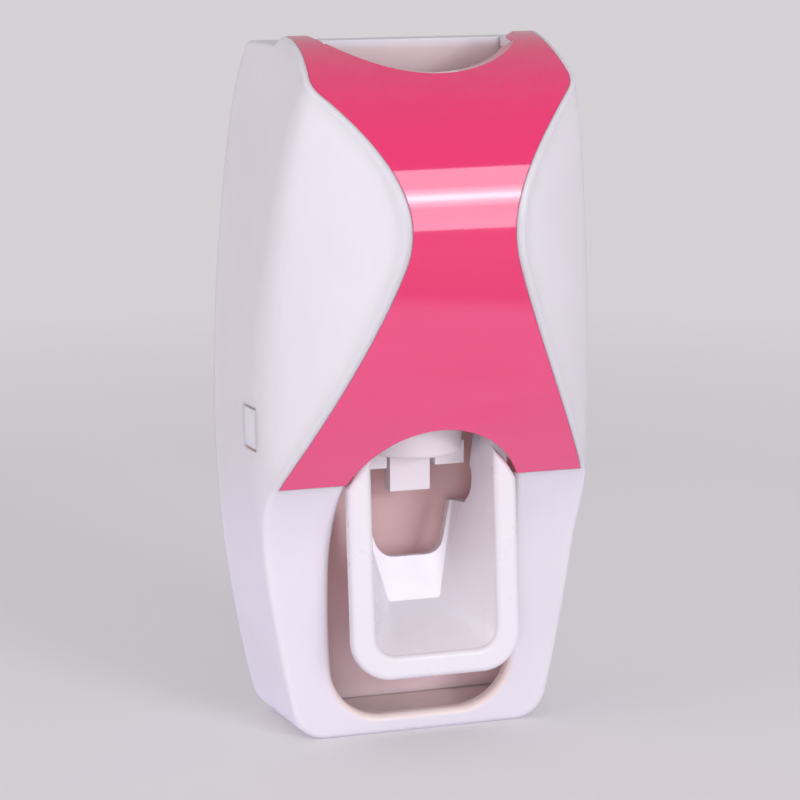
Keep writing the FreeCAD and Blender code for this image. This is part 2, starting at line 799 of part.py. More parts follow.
def bucket(front, wall, top):
    """Trough from an upright outline at the rim to a leaning, narrower one at the back."""
    rim = trough_wire(rim_half - rim_band + wall, lever_foot + rim_band - wall, rim_inner_radius + wall,
                      front, top)
    back = trough_wire(back_foot_half + wall, back_foot - wall, back_corner_radius + wall,
                       back_depth - wall, top, back_flare_share, back_lean_share)
    return Part.makeLoft([rim, back], True, True)


def tilted(solid, angle):
    solid.rotate(at(0, hinge_depth, hinge_height), FreeCAD.Vector(1, 0, 0), angle)
    return solid


def lever_rim():
    """Flat band around the trough's mouth, cut to the panel's arch at its upper ends."""
    rear = rim_depth - rim_thickness
    top = arch_top + overrun
    solid = Part.Face(trough_wire(rim_half, lever_foot, rim_corner_radius, rear, top))
    solid = solid.extrude(FreeCAD.Vector(0, -rim_thickness, 0))
    hole = Part.Face(trough_wire(rim_half - rim_band, lever_foot + rim_band, rim_inner_radius,
                                 rear - overrun, top + overrun))
    solid = solid.cut(hole.extrude(FreeCAD.Vector(0, -rim_thickness - 2 * overrun, 0)))
    arch_centre = arch_top - arch_radius
    room = forward(arch_radius - rim_arch_gap, 0, body_depth, 0, arch_centre)
    room = room.fuse(box(-wide_half, wide_half, 0, body_depth, -overrun, arch_centre))
    solid = solid.common(tilted(room, lever_tilt)).Solids[0]
    rounded = crease_edges(solid, lambda m: m.y < -rim_depth + match_tolerance)
    return solid.makeFillet(rim_edge_radius, rounded)


def lever_trough():
    """Rim and trough with the side notches and the brush window."""
    trough = bucket(rim_depth - rim_thickness / 2, bucket_wall, lever_top).fuse(lever_rim())
    trough = trough.cut(bucket(rim_depth - rim_edge_radius, 0, lever_top + overrun))
    rear = back_depth - back_lean_share * (lever_top - back_foot) - bucket_wall - overrun
    notch_front = rim_depth - side_wall_reach
    notch_top = back_wall_top + side_notch_height
    notch = box(-rim_half, rim_half, rear, notch_front, back_wall_top, notch_top)
    corners = [e for e in notch.Edges if abs(e.BoundBox.XLength - 2 * rim_half) < match_tolerance
               and e.BoundBox.YMin < -notch_front + match_tolerance]
    trough = trough.cut(notch.makeFillet(side_notch_radius, corners))
    trough = trough.cut(box(-rim_half, rim_half, rear, notch_front - side_notch_step,
                            back_wall_top, lever_top + overrun))
    gap = Part.Face(trough_wire(brush_window_half, brush_window_foot, brush_window_radius, rear, lever_top,
                                brush_window_flare_share))
    return trough.cut(gap.extrude(FreeCAD.Vector(0, rear - back_depth, 0)))


def lever_arm(side):
    """Arm from the trough up to the hinge, with its hub and trunnion."""
    x0, x1 = sorted((side * (arm_outer() - arm_thickness), side * arm_outer()))
    front = rim_depth - arm_setback
    rear = front - arm_root
    knee_height = port_height - arm_knee_drop
    knee_front = bar_rear + arm_knee_reach
    outline = [(rear, arm_foot), (front, arm_foot), (front, lever_top),
               (knee_front, knee_height), (hinge_depth + hub_radius, hinge_height),
               (hinge_depth - hub_radius, hinge_height), (knee_front - arm_knee_width, knee_height),
               (rear, lever_top)]
    points = [at(x0, d, z) for d, z in outline]
    arm = Part.Face(Part.makePolygon(points + points[:1])).extrude(FreeCAD.Vector(x1 - x0, 0, 0))
    arm = arm.fuse(across(hub_radius, x0, x1, hinge_depth, hinge_height))
    x0, x1 = sorted((side * (arm_outer() - arm_thickness / 2), side * (arm_outer() + trunnion_length)))
    return arm.fuse(across(trunnion_radius, x0, x1, hinge_depth, hinge_height))


def push_lever():
    reach = arm_outer() - arm_thickness / 2
    bar = box(-reach, reach, bar_rear, bar_rear + bar_thickness,
              port_height - bar_height / 2, port_height + bar_height / 2)
    lever = lever_trough().fuse(lever_arm(1)).fuse(lever_arm(-1)).fuse(bar)
    return tilted(lever.removeSplitter(), -lever_tilt)


PIECES = {
    "front_shell": front_shell, "front_panel": front_panel, "back_cover": back_cover,
    "cover_screws": cover_screws, "wall_bracket": wall_bracket, "bracket_tape": bracket_tape,
    "pump_body": pump_body, "pump_screws": pump_screws, "pump_bulb": pump_bulb, "bulb_ring": bulb_ring,
    "inlet_seat": inlet_seat, "inlet_valve": inlet_valve, "socket_seal": socket_seal,
    "tube_socket": tube_socket, "neck_seal": neck_seal, "seal_retainer": seal_retainer,
    "outlet_collar": outlet_collar, "outlet_valve": outlet_valve, "nozzle": nozzle,
    "push_lever": push_lever,
}


def main():
    for name, make in PIECES.items():
        made = make()
        solids = made if isinstance(made, list) else made.Solids
        whole = Part.makeCompound(solids) if len(solids) > 1 else solids[0]
        whole.translate(-origin)
        whole.exportStep("parts/" + name + ".step")
        print(name, len(solids), whole.isValid(), round(whole.Volume), whole.optimalBoundingBox())


if __name__ == "__main__":
    main()
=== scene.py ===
import math

import bmesh
import bpy
from bpy.props import FloatProperty, FloatVectorProperty, PointerProperty
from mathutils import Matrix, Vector


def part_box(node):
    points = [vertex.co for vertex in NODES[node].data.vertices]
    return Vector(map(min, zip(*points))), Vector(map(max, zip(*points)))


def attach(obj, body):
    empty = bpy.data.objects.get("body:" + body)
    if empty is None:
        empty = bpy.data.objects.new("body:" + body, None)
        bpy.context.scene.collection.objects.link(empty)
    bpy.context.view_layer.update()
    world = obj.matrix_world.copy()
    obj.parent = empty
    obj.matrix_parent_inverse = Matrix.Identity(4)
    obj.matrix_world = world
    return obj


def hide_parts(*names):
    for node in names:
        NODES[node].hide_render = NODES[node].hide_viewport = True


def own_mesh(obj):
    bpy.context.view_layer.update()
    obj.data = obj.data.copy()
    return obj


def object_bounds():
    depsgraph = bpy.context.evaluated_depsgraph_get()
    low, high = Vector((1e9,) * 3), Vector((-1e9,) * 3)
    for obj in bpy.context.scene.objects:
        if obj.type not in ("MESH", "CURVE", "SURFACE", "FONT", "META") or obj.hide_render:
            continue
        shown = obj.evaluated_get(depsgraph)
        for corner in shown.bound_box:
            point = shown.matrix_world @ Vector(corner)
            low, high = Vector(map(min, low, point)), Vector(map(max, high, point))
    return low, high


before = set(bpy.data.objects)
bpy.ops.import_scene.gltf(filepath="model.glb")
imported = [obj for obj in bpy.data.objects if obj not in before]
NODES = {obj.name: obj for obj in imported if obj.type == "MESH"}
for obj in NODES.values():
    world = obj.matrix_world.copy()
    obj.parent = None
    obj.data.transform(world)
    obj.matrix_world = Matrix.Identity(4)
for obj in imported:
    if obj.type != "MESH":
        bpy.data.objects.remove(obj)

bl_info = {
    "name": "Toothpaste Dispenser",
    "version": (1, 0, 0),
    "blender": (4, 5, 0),
    "location": "View3D > Sidebar > Dispenser",
    "description": "Finishes, soft pieces, screws and stage of a wall-hung toothpaste dispenser",
    "category": "Object",
}

CAD_BOX = [list(corner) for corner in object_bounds()]

# Scales of the noises, in features per metre
CLOUD_SCALE = 55.0
FLOW_SCALE = (240.0, 240.0, 35.0)
SHEEN_SCALE = 130.0
PEEL_SCALE = 420.0
DUST_SCALE = 260.0
WIPE_SCALE = (26.0, 26.0, 150.0)
HAIR_SCALE = (130.0, 130.0, 4200.0)
SWELL_SCALE = 90.0
LATHE_SCALE = (600.0, 5000.0, 600.0)

# Ways that wipe marks and hairlines run, in radians
WIPE_TURN = (0.0, 0.5, 0.0)
HAIR_TURN = (0.0, -0.35, 0.0)

# Heights of the bumps, in metres
GRAIN_BUMP = 0.00003
MARK_BUMP = 0.0002
SWELL_BUMP = 0.00002
SILICONE_BUMP = 0.00004
LATHE_BUMP = 0.00003
CELL_BUMP = 0.0002
FILM_BUMP = 0.0001

# Shares in the finishes
CLOUD_SHARE = 0.7
GRAIN_SHARE = 0.6
HAIR_DULL = 0.015
HAIR_DEPTH = -0.05
DUST_DULL = 0.8
PORE_SHADE = 0.72
GLOW_FADE = 1.1
LIT_FADE = 2.0

# How far the painted inner shade takes to come in, in metres
RIM_FADE = 0.002
REAR_FADE = 0.0005

# Points and steps of the meshes
CORNER_POINTS = 8
TAPE_LAYERS = 8
DOME_POINTS = 48
DOME_STEPS = 14
HEAD_POINTS = 40
HEAD_STEPS = 7
THREAD_POINTS = 20
THREAD_STEPS = 8
FLOOR_CELLS = 8

# Shares in the shape of a screw
HEAD_FLAT = 0.7
HEAD_SIDE = 0.5
RECESS_TAPER = 0.7
POINT_LENGTH = 2.2
POINT_TIP = 0.06
CREST_SLOPE = 2.6
THREAD_START = 0.4

# Height of each lamp behind the softbox's cloth in metres, and its share of their power
TUBES = ((0.04, 0.17), (0.07, 0.22), (0.11, 0.24), (0.16, 0.2), (0.22, 0.17))
FLOOR_SIZE = 6.0


# Values that a user may change

def tone(red, green, blue):
    """Linear colour of a display colour in 0 to 255."""
    shares = (red / 255, green / 255, blue / 255)
    return tuple(((s + 0.055) / 1.055) ** 2.4 if s > 0.04045 else s / 12.92 for s in shares)


def colour(name, description, *display):
    return FloatVectorProperty(name=name, description=description, subtype="COLOR", size=3,
                               min=0, max=1, default=tone(*display))


def share(name, description, default):
    return FloatProperty(name=name, description=description, subtype="FACTOR", min=0, max=1, default=default)


def length(name, description, default):
    return FloatProperty(name=name, description=description, subtype="DISTANCE", unit="LENGTH",
                         default=default)


def place(name, description, *default):
    return FloatVectorProperty(name=name, description=description, subtype="XYZ", unit="LENGTH", size=3,
                               default=default)


def spans(name, description, *default):
    return FloatVectorProperty(name=name, description=description, unit="LENGTH", size=2, default=default)


def number(name, description, default):
    return FloatProperty(name=name, description=description, default=default)


class ShellLook(bpy.types.PropertyGroup):
    """White mouldings seen from outside: the hood and the push lever."""
    hood: colour("Hood white", "Colour of the front shell", 240, 231, 240)
    lever: colour("Lever white", "Colour of the push lever", 240, 232, 239)
    hood_gloss: share("Hood roughness", "Roughness of the front shell", 0.38)
    lever_gloss: share("Lever roughness", "Roughness of the push lever", 0.3)
    mottle: share("Mottle", "How far the white drifts over the moulding", 0.035)
    grain: length("Grain", "Size of the fine grain of the moulding", 0.0007)
    edge: length("Edge", "Radius that softens the moulded edges", 0.00035)


class PanelLook(bpy.types.PropertyGroup):
    """Pink front panel."""
    pink: colour("Pink", "Colour of the panel", 237, 38, 108)
    gloss: share("Roughness", "Roughness of the panel's face", 0.07)
    wipe: share("Wipe marks", "How much the wipe marks dull the gloss", 0.05)
    edge: length("Edge", "Radius that softens the panel's edges", 0.00025)


class InnerLook(bpy.types.PropertyGroup):
    """Satin mouldings inside and behind the hood."""
    cover: colour("Cover white", "Colour of the back cover", 244, 237, 247)
    # The cover's and the hood's inner shades below are painted shade: darker, warmer colours on inner faces
    # that stand in for the shade and warm bounce inside the hood
    warm: colour("Inner shade", "Warm shade of the cover's inner face", 233, 197, 197)
    hood_painted_shade: colour("Hood inner shade", "Warm shade of the hood's inner faces", 253, 227, 223)
    heart: place("Heart", "Point inside the hood that the inner faces look at", 0.0, -0.022, -0.02)
    rim: length("Rim", "How far below the top the warm shade begins", 0.0024)
    rear: length("Rear", "Depth behind which the warm shade stops", -0.0045)
    pump: colour("Pump white", "Colour of the pump, socket and outlet", 242, 232, 237)
    bracket: colour("Bracket white", "Colour of the wall bracket", 236, 232, 234)
    gloss: share("Roughness", "Roughness of the satin plastic", 0.5)
    mark_radius: length("Pin mark radius", "Radius of the ring that an ejector pin leaves", 0.0028)
    mark_width: length("Pin mark width", "Width of the ring that an ejector pin leaves", 0.0004)
    mark_spread: length("Pin mark spread", "Distance of the pin marks from the middle", 0.0188)
    mark_height: length("Pin mark height", "Level of the pin marks", 0.0452)


class RubberLook(bpy.types.PropertyGroup):
    """Silicone seals, valves and bulb."""
    milk: colour("Silicone", "Colour of the silicone", 226, 224, 218)
    gloss: share("Roughness", "Roughness of the silicone", 0.42)
    bulb_keep: share("Bulb keep", "Share of the bulb's height that is left when the lever is pushed in", 0.64)
    bulb_wall: length("Bulb wall", "Thickness of the bulb's dome", 0.0011)
    bulb_flange: length("Bulb flange", "Thickness of the bulb's flange", 0.0012)
    bulb_base: length("Bulb base", "Radius of the dome at its foot", 0.0068)
    bulb_root: length("Bulb root", "Width of the rounded root of the dome", 0.0004)
    bulb_edge: length("Bulb edge", "Chamfer of the flange's edges", 0.0002)


class TapeLook(bpy.types.PropertyGroup):
    """Foam tape behind the wall bracket."""
    foam: colour("Foam", "Colour of the foam core", 232, 231, 226)
    film: colour("Film", "Colour of the adhesive film", 222, 220, 210)
    bulge: length("Bulge", "How far the foam swells at its edge", 0.00025)
    corner: length("Corner", "Radius of the tape's corners", 0.002)
    cell: length("Cell", "Size of the foam's cells", 0.0006)


class ScrewLook(bpy.types.PropertyGroup):
    """Self-tapping screws."""
    zinc: colour("Zinc", "Colour of the plating", 196, 197, 201)
    gloss: share("Roughness", "Roughness of the plating", 0.28)
    head_height: length("Head height", "Height of the pan head", 0.0015)
    head_foot: length("Head foot", "Height of the chamfer under the head", 0.00015)
    head_chamfer: length("Head chamfer", "Width of the chamfer under the head", 0.00005)
    shank: share("Shank", "Radius of the shank as a share of the head's", 0.52)
    core: share("Core", "Radius of the thread's root as a share of the shank's", 0.74)
    pitch: length("Pitch", "Pitch of the thread", 0.0011)
    recess_width: length("Recess width", "Width of the slots of the cross recess", 0.0007)
    recess_reach: length("Recess reach", "Reach of the cross recess from the axis", 0.0015)
    recess_depth: length("Recess depth", "Depth of the cross recess", 0.0009)


class StudioLook(bpy.types.PropertyGroup):
    """Floor, lights and camera."""
    floor: colour("Floor", "Colour of the floor", 208, 204, 208)
    floor_lift: number("Floor lift", "How much paler the floor looks than it is lit", 0.34)
    backdrop: colour("Backdrop", "Colour of the floor far from the dispenser", 210, 206, 210)
    lit_reach: length("Lit reach", "How far from the dispenser the floor shows its light and shadow", 0.28)
    glow: colour("Floor glow", "Light that the floor near the dispenser sends into glossy faces",
                 184, 180, 232)
    glow_reach: length("Glow reach", "How far from the dispenser the floor glows", 0.18)
    sky: colour("Surroundings", "Colour of the light from all round", 255, 253, 255)
    sky_strength: number("Surroundings strength", "Strength of the light from all round", 0.47)
    key_power: number("Key power", "Power of the softbox in watts", 3.55)
    key_tint: colour("Key tint", "Colour of the softbox", 233, 243, 255)
    tube_power: number("Tube power", "Power of the lamps behind the softbox's cloth in watts", 2.2)
    low_power: number("Low power", "Power of the low front fill in watts", 2.2)
    fill_tint: colour("Fill tint", "Colour of the fill on the left", 246, 248, 255)
    fill_power: number("Fill power", "Power of the fill on the left in watts", 8.6)
    aim: place("Aim", "Point that the lamps face", 0.0, -0.045, 0.02)
    key_place: place("Key place", "Place of the softbox", 0.40, -1.12, 0.28)
    key_size: spans("Key size", "Width and height of the softbox", 0.40, 0.80)
    tube_place: place("Tube place", "Place of the lamps behind the softbox's cloth", 0.385, -1.08, 0.30)
    low_place: place("Low place", "Place of the low front fill", -0.34, -1.02, 0.06)
    low_size: spans("Low size", "Width and height of the low front fill", 0.4, 0.25)
    fill_place: place("Fill place", "Place of the fill on the left", -1.4, -0.35, 0.2)
    fill_size: spans("Fill size", "Width and height of the fill on the left", 1.2, 1.2)
    camera: place("Camera", "Place of the camera", -0.19988, -0.60939, 0.09882)
    target: place("Target", "Point that the camera looks at", -0.004581, -0.0257, -0.023963)
    lens: number("Lens", "Focal length in millimetres", 125.94)
    sensor: number("Sensor", "Width of the camera's sensor in millimetres", 36.0)


class DispenserLook(bpy.types.PropertyGroup):
    """All the values of the dispenser."""
    shell: PointerProperty(type=ShellLook)
    panel: PointerProperty(type=PanelLook)
    inner: PointerProperty(type=InnerLook)
    rubber: PointerProperty(type=RubberLook)
    tape: PointerProperty(type=TapeLook)
    screw: PointerProperty(type=ScrewLook)
    studio: PointerProperty(type=StudioLook)


# Node trees

class Tree:
    """Adds nodes to a node tree, with values or links for their inputs."""

    def __init__(self, tree):
        self.tree = tree

    def add(self, kind, inputs=None, **settings):
        node = self.tree.nodes.new(kind)
        for key, value in settings.items():
            setattr(node, key, value)
        for key, value in (inputs or {}).items():
            if isinstance(value, bpy.types.NodeSocket):
                self.tree.links.new(value, node.inputs[key])
            elif value is not None:
                node.inputs[key].default_value = value
        return node

    def math(self, operation, first, second=None):
        return self.add("ShaderNodeMath", {0: first, 1: second}, operation=operation).outputs[0]

    def spot(self):
        return self.add("ShaderNodeTexCoord").outputs["Object"]

    def stretched(self, scale, turn=None):
        """Place on the piece, turned and then scaled by axis."""
        inputs = {"Vector": self.spot(), "Rotation": turn, "Scale": scale}
        return self.add("ShaderNodeMapping", inputs).outputs[0]

    def weighed(self, first, second, part):
        """Sum of a share of one value and the rest of another."""
        rest = self.math("MULTIPLY", second, 1 - part)
        return self.math("ADD", self.math("MULTIPLY", first, part), rest)

    def noise(self, size, detail=2.0, vector=None):
        """Noise round 0.5: a number is its scale, a socket the size of its features."""
        scale = size if isinstance(size, (int, float)) else self.math("DIVIDE", 1.0, size)
        inputs = {"Vector": vector or self.spot(), "Scale": scale, "Detail": detail}
        return self.add("ShaderNodeTexNoise", inputs).outputs[0]

    def spread(self, value, low, high, from_low=0.25, from_high=0.75):
        inputs = {0: value, 1: from_low, 2: from_high, 3: low, 4: high}
        return self.add("ShaderNodeMapRange", inputs).outputs[0]

    def blend(self, factor, first, second):
        node = self.add("ShaderNodeMix", data_type="RGBA")
        for index, value in ((0, factor), (6, first), (7, second)):
            if isinstance(value, bpy.types.NodeSocket):
                self.tree.links.new(value, node.inputs[index])
            else:
                node.inputs[index].default_value = value
        return node.outputs[2]


def group(name, inputs, outputs):
    """Empty shader group with named sockets, its tree and the nodes at its two ends."""
    made = bpy.data.node_groups.new(name, "ShaderNodeTree")
    kinds = {"value": "NodeSocketFloat", "colour": "NodeSocketColor", "vector": "NodeSocketVector"}
    for label, kind, default in inputs:
        socket = made.interface.new_socket(label, in_out="INPUT", socket_type=kinds[kind])
        socket.default_value = default
    for label, kind in outputs:
        made.interface.new_socket(label, in_out="OUTPUT", socket_type=kinds[kind])
    tree = Tree(made)
    return made, tree, tree.add("NodeGroupInput").outputs, tree.add("NodeGroupOutput").inputs


def shared(build):
    """The shader group that a function makes, made once."""
    name = build.__name__.replace("_", " ").capitalize()
    return bpy.data.node_groups.get(name) or build(name)


def moulded_skin(name):
    """Slow drift of colour and gloss, and the fine grain of a moulding."""
    made, tree, given, put = group(
        name,
        [("Colour", "colour", (0.8, 0.8, 0.8, 1)), ("Mottle", "value", 0.03), ("Roughness", "value", 0.4),
         ("Drift", "value", 0.06), ("Grain", "value", 0.0007)],
        [("Colour", "colour"), ("Roughness", "value"), ("Height", "value")])
    slow = tree.noise(CLOUD_SCALE, 3.0)
    flow = tree.noise(1.0, 2.0, tree.stretched(FLOW_SCALE))
    cloud = tree.weighed(slow, flow, CLOUD_SHARE)
    dark = tree.math("MULTIPLY", tree.spread(cloud, 1.0, 0.0, 0.3, 0.7), given["Mottle"])
    shade = tree.add("ShaderNodeHueSaturation", {"Color": given["Colour"],
                                                 "Value": tree.math("SUBTRACT", 1.0, dark)}).outputs[0]
    tree.tree.links.new(shade, put["Colour"])
    drift = tree.math("MULTIPLY", tree.spread(tree.noise(SHEEN_SCALE, 3.0), -1.0, 1.0), given["Drift"])
    tree.tree.links.new(tree.math("ADD", given["Roughness"], drift), put["Roughness"])
    fine = tree.noise(given["Grain"], 2.0)
    peel = tree.noise(PEEL_SCALE, 1.0)
    tree.tree.links.new(tree.weighed(fine, peel, GRAIN_SHARE), put["Height"])
    return made


def soft_edge(name):
    """Normal that rounds sharp edges."""
    made, tree, given, put = group(name, [("Radius", "value", 0.0003)], [("Normal", "vector")])
    bevel = tree.add("ShaderNodeBevel", {"Radius": given["Radius"]}, samples=4).outputs[0]
    tree.tree.links.new(bevel, put["Normal"])
    return made


def settled_dust(name):
    """Thin dust on faces that look up."""
    made, tree, given, put = group(
        name,
        [("Colour", "colour", (0.8, 0.8, 0.8, 1)), ("Dust", "colour", (0.5, 0.48, 0.46, 1)),
         ("Amount", "value", 0.1)],
        [("Colour", "colour"), ("Mask", "value")])
    normal = tree.add("ShaderNodeTexCoord").outputs["Normal"]
    up = tree.add("ShaderNodeSeparateXYZ", {0: normal}).outputs[2]
    lying = tree.spread(up, 0.0, 1.0, 0.55, 1.0)
    patch = tree.math("MULTIPLY", lying, tree.spread(tree.noise(DUST_SCALE, 4.0), 0.35, 1.0))
    mask = tree.math("MULTIPLY", patch, given["Amount"])
    tree.tree.links.new(tree.blend(mask, given["Colour"], given["Dust"]), put["Colour"])
    tree.tree.links.new(mask, put["Mask"])
    return made


def painted_inner_shade(name):
    """Painted shade: a warm, darker colour on the faces that look at a point inside the hood, below its rim
    and before its rear.
    """
    made, tree, given, put = group(
        name,
        [("Colour", "colour", (0.8, 0.8, 0.8, 1)), ("Warm", "colour", (0.7, 0.5, 0.45, 1)),
         ("Heart", "vector", (0, 0, 0)), ("Top", "value", 0.05), ("Rear", "value", 0.0)],
        [("Colour", "colour")])
    ends = {0: given["Heart"], 1: tree.spot()}
    away = tree.add("ShaderNodeVectorMath", ends, operation="SUBTRACT").outputs[0]
    toward = tree.add("ShaderNodeVectorMath", {0: away}, operation="NORMALIZE").outputs[0]
    normal = tree.add("ShaderNodeTexCoord").outputs["Normal"]
    both = {0: toward, 1: normal}
    facing = tree.add("ShaderNodeVectorMath", both, operation="DOT_PRODUCT").outputs["Value"]
    parts = tree.add("ShaderNodeSeparateXYZ", {0: tree.spot()}).outputs
    below = tree.spread(tree.math("SUBTRACT", given["Top"], parts[2]), 0.0, 1.0, 0.0, RIM_FADE)
    before = tree.spread(tree.math("SUBTRACT", given["Rear"], parts[1]), 0.0, 1.0, 0.0, REAR_FADE)
    within = tree.math("MULTIPLY", below, before)
    inside = tree.math("MULTIPLY", tree.spread(facing, 0.0, 1.0, 0.02, 0.3), within)
    tree.tree.links.new(tree.blend(inside, given["Colour"], given["Warm"]), put["Colour"])
    return made


def wiped_gloss(name):
    """Dull wipe marks and hairlines on a polished face."""
    made, tree, given, put = group(name, [("Roughness", "value", 0.05), ("Wipe", "value", 0.05)],
                                   [("Roughness", "value"), ("Height", "value"), ("Coat", "value")])
    sweep = tree.stretched(WIPE_SCALE, WIPE_TURN)
    wipe = tree.spread(tree.noise(1.0, 4.0, sweep), 0.0, 1.0, 0.48, 0.8)
    hair = tree.stretched(HAIR_SCALE, HAIR_TURN)
    line = tree.spread(tree.noise(1.0, 1.0, hair), 0.0, 1.0, 0.62, 0.72)
    dull = tree.math("ADD", tree.math("MULTIPLY", wipe, given["Wipe"]),
                     tree.math("MULTIPLY", line, HAIR_DULL))
    tree.tree.links.new(tree.math("ADD", given["Roughness"], dull), put["Roughness"])
    height = tree.math("ADD", tree.noise(SWELL_SCALE, 1.0), tree.math("MULTIPLY", line, HAIR_DEPTH))
    tree.tree.links.new(height, put["Height"])
    tree.tree.links.new(tree.spread(wipe, 1.0, 0.8, 0.0, 1.0), put["Coat"])
    return made


def finish(name):
    """New material, its tree and its Principled shader."""
    made = bpy.data.materials.new(name)
    made.use_nodes = True
    return made, Tree(made.node_tree), made.node_tree.nodes["Principled BSDF"]


def wire(tree, shader, **inputs):
    """Links sockets to a shader's inputs and sets plain values."""
    for key, value in inputs.items():
        entry = shader.inputs[key.replace("_", " ")]
        if isinstance(value, bpy.types.NodeSocket):
            tree.tree.links.new(value, entry)
        else:
            entry.default_value = value


def grouped(tree, build, **inputs):
    """Outputs of a shared shader group, with its inputs linked or set."""
    return tree.add("ShaderNodeGroup", inputs, node_tree=shared(build)).outputs


def bumped(tree, height, distance, normal=None, strength=1.0):
    inputs = {"Height": height, "Distance": distance, "Strength": strength, "Normal": normal}
    return tree.add("ShaderNodeBump", inputs).outputs[0]


def opaque(rgb):
    return (rgb[0], rgb[1], rgb[2], 1.0)


def moulding(name, rgb, rough, mottle=0.035, grain=0.0007, edge=0.0003, dust=0.12, marks=None,
             inner=None, warm=None):
    """White plastic with drift, grain, soft edges and a little dust, and painted warm shade inside a hood."""
    made, tree, shader = finish(name)
    skin = grouped(tree, moulded_skin, Colour=opaque(rgb), Mottle=mottle, Roughness=rough, Grain=grain)
    rim = grouped(tree, soft_edge, Radius=edge)
    shade = skin["Colour"]
    # Painted shade on the inner faces of a hood
    if inner:
        shade = grouped(tree, painted_inner_shade, Colour=shade, Warm=opaque(warm), Heart=inner.heart,
                        Top=CAD_BOX[1][2] - inner.rim, Rear=inner.rear)["Colour"]
    film = grouped(tree, settled_dust, Colour=shade, Amount=dust)
    dull = tree.math("MULTIPLY", film["Mask"], DUST_DULL)
    normal = bumped(tree, skin["Height"], GRAIN_BUMP, rim["Normal"], strength=0.5)
    if marks:
        normal = bumped(tree, marks(tree), MARK_BUMP, normal)
    wire(tree, shader, Base_Color=film["Colour"], Roughness=tree.math("ADD", skin["Roughness"], dull),
         Normal=normal, Specular_IOR_Level=0.45)
    if inner:
        wire(tree, shader, Subsurface_Weight=0.5, Subsurface_Radius=(1.0, 0.95, 0.96),
             Subsurface_Scale=0.004)
    return made


def pin_marks(look):
    """Rings that two ejector pins leave on the inner face of the cover."""
    def build(tree):
        parts = tree.add("ShaderNodeSeparateXYZ", {0: tree.spot()}).outputs
        across = tree.math("SUBTRACT", tree.math("ABSOLUTE", parts[0]), look.mark_spread)
        up = tree.math("SUBTRACT", parts[2], look.mark_height)
        both = tree.math("ADD", tree.math("POWER", across, 2.0), tree.math("POWER", up, 2.0))
        off = tree.math("ABSOLUTE", tree.math("SUBTRACT", tree.math("SQRT", both), look.mark_radius))
        return tree.spread(off, 1.0, 0.0, 0.0, look.mark_width)
    return build


def pink_gloss(look):
    """Pink plastic under a clear coat, with wipe marks and a little dust."""
    made, tree, shader = finish("Pink gloss panel")
    skin = grouped(tree, moulded_skin, Colour=opaque(look.pink), Mottle=0.03, Roughness=look.gloss,
                   Drift=0.008)
    shine = grouped(tree, wiped_gloss, Roughness=skin["Roughness"], Wipe=look.wipe)
    rim = grouped(tree, soft_edge, Radius=look.edge)
    film = grouped(tree, settled_dust, Colour=skin["Colour"], Amount=0.1)
    wire(tree, shader, Base_Color=film["Colour"], Roughness=shine["Roughness"], IOR=1.5,
         Normal=bumped(tree, shine["Height"], SWELL_BUMP, rim["Normal"], strength=0.35),
         Coat_Weight=shine["Coat"], Coat_Roughness=0.04)
    return made


def milky_silicone(look):
    """Soft translucent rubber with some dust."""
    made, tree, shader = finish("Milky silicone")
    skin = grouped(tree, moulded_skin, Colour=opaque(look.milk), Mottle=0.06, Roughness=look.gloss,
                   Drift=0.1)
    film = grouped(tree, settled_dust, Colour=skin["Colour"], Amount=0.3)
    wire(tree, shader, Base_Color=film["Colour"], Roughness=skin["Roughness"],
         Normal=bumped(tree, skin["Height"], SILICONE_BUMP),
         Subsurface_Weight=0.35, Subsurface_Radius=(1.0, 0.9, 0.8), Subsurface_Scale=0.001)
    return made


def zinc_plate(look):
    """Zinc with the marks of turning."""
    made, tree, shader = finish("Zinc plate")
    skin = grouped(tree, moulded_skin, Colour=opaque(look.zinc), Mottle=0.2, Roughness=look.gloss,
                   Drift=0.12, Grain=0.0003)
    height = tree.math("ADD", skin["Height"], tree.noise(1.0, 1.0, tree.stretched(LATHE_SCALE)))
    wire(tree, shader, Base_Color=skin["Colour"], Roughness=skin["Roughness"],
         Normal=bumped(tree, height, LATHE_BUMP), Metallic=1.0)
    return made


def cell_foam(look):
    """Foam with open cells at its cut edge, the cells darkened with painted shade."""
    made, tree, shader = finish("Closed-cell foam")
    grid = {"Vector": tree.spot(), "Scale": 1 / look.cell}
    cells = tree.add("ShaderNodeTexVoronoi", grid).outputs["Distance"]
    pore = tree.spread(cells, 0.0, 1.0, 0.05, 0.6)
    # Pores painted darker: painted shade in the cells
    pore_shade_colour = tuple(PORE_SHADE * c for c in look.foam)
    wire(tree, shader, Base_Color=tree.blend(pore, opaque(pore_shade_colour), opaque(look.foam)),
         Roughness=tree.spread(pore, 0.95, 0.8, 0.0, 1.0), Normal=bumped(tree, pore, CELL_BUMP))
    return made


def tacky_film(look):
    """Film of adhesive on the faces of the tape."""
    made, tree, shader = finish("Adhesive film")
    skin = grouped(tree, moulded_skin, Colour=opaque(look.film), Mottle=0.15, Roughness=0.3, Drift=0.15,
                   Grain=0.0012)
    wire(tree, shader, Base_Color=skin["Colour"], Roughness=skin["Roughness"],
         Normal=bumped(tree, skin["Height"], FILM_BUMP))
    return made


